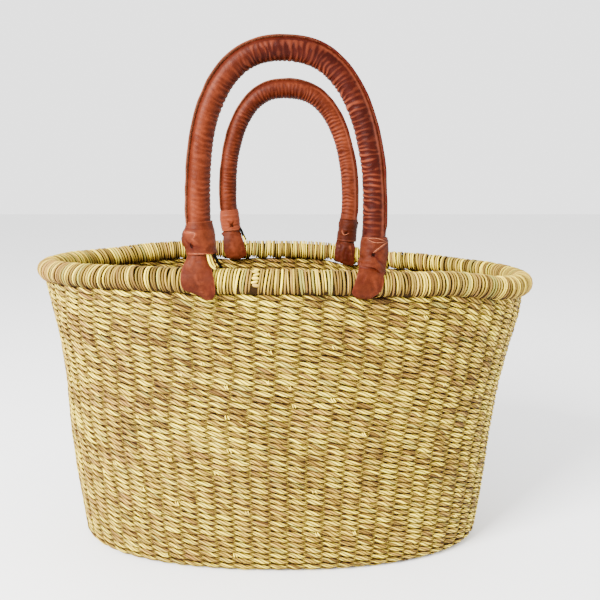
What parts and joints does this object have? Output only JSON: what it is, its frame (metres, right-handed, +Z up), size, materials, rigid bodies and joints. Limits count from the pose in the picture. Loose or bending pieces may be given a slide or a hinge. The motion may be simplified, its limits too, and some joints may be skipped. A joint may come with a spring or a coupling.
{
  "type": "straw basket bag",
  "caption": "Oval twined straw basket bag with a straw-wrapped rim roll and leather-covered arch handles bound to the rim.",
  "frame": {"origin": "on the floor under the basket, midway between the handles' feet", "axes": "+Z up, X along the basket's long way, -Y towards the front handle"},
  "size_m": [0.4214, 0.2553, 0.4123],
  "materials": {
    "straw": "dry twined straw, pale gold with brown and greenish strands",
    "rim_straw": "dry straw wound in close turns, pale gold",
    "leather": "thin tan leather, gathered, soft sheen",
    "foot_leather": "tan leather, creased, soft sheen",
    "cord": "black waxed cord"
  },
  "bodies": {
    "root": {"woven_body": "straw", "rim_roll": "rim_straw", "front_handle": "leather", "back_handle": "leather", "front_left_foot": "foot_leather", "front_left_collar": "foot_leather", "front_right_foot": "foot_leather", "front_right_collar": "foot_leather", "back_left_foot": "foot_leather", "back_left_collar": "foot_leather", "back_right_foot": "foot_leather", "back_right_collar": "foot_leather", "front_left_tie": "cord", "back_left_tie": "cord"}
  },
  "joints": []
}
